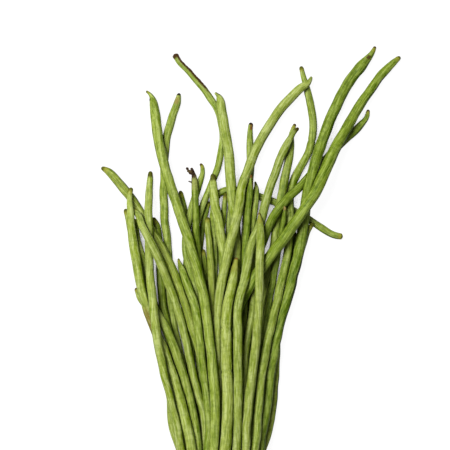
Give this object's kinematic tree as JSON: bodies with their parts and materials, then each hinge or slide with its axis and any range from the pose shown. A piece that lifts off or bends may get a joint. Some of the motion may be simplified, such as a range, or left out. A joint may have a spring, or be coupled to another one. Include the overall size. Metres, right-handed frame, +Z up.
{
  "type": "yardlong bean bunch",
  "caption": "Bunch of long slender green bean pods lying on its side, tips fanned out, gathered at the waist by a plain rubber band.",
  "frame": {"origin": "on the surface under the middle of the bunch's box", "axes": "+Y along the bunch towards the fanned pod tips, +Z up from the surface it lies on"},
  "size_m": [0.2566, 0.5612, 0.0482],
  "materials": {
    "pod_green": "fresh green pod skin, satin, finely mottled",
    "pod_pale": "fresh pale yellow-green pod skin, satin, finely mottled",
    "pod_deep": "fresh deep green pod skin, satin, finely mottled",
    "band_rubber": "natural tan rubber, matte"
  },
  "bodies": {
    "root": {"pod_01": "pod_green", "pod_02": "pod_pale", "pod_03": "pod_pale", "pod_04": "pod_pale", "pod_05": "pod_green", "pod_06": "pod_pale", "pod_07": "pod_green", "pod_08": "pod_pale", "pod_09": "pod_deep", "pod_10": "pod_green", "pod_11": "pod_green", "pod_12": "pod_green", "pod_13": "pod_deep", "pod_14": "pod_deep", "pod_15": "pod_green", "pod_16": "pod_deep", "pod_17": "pod_green", "pod_18": "pod_deep", "pod_19": "pod_pale", "pod_20": "pod_pale", "pod_21": "pod_green", "pod_22": "pod_green", "pod_23": "pod_pale", "pod_24": "pod_deep", "pod_25": "pod_green", "pod_26": "pod_green", "pod_27": "pod_pale", "pod_28": "pod_deep", "pod_29": "pod_deep", "pod_30": "pod_green", "pod_31": "pod_pale", "pod_32": "pod_green", "pod_33": "pod_pale", "pod_34": "pod_green", "pod_35": "pod_green", "pod_36": "pod_deep", "pod_37": "pod_deep", "pod_38": "pod_deep", "rubber_band": "band_rubber"}
  },
  "joints": []
}
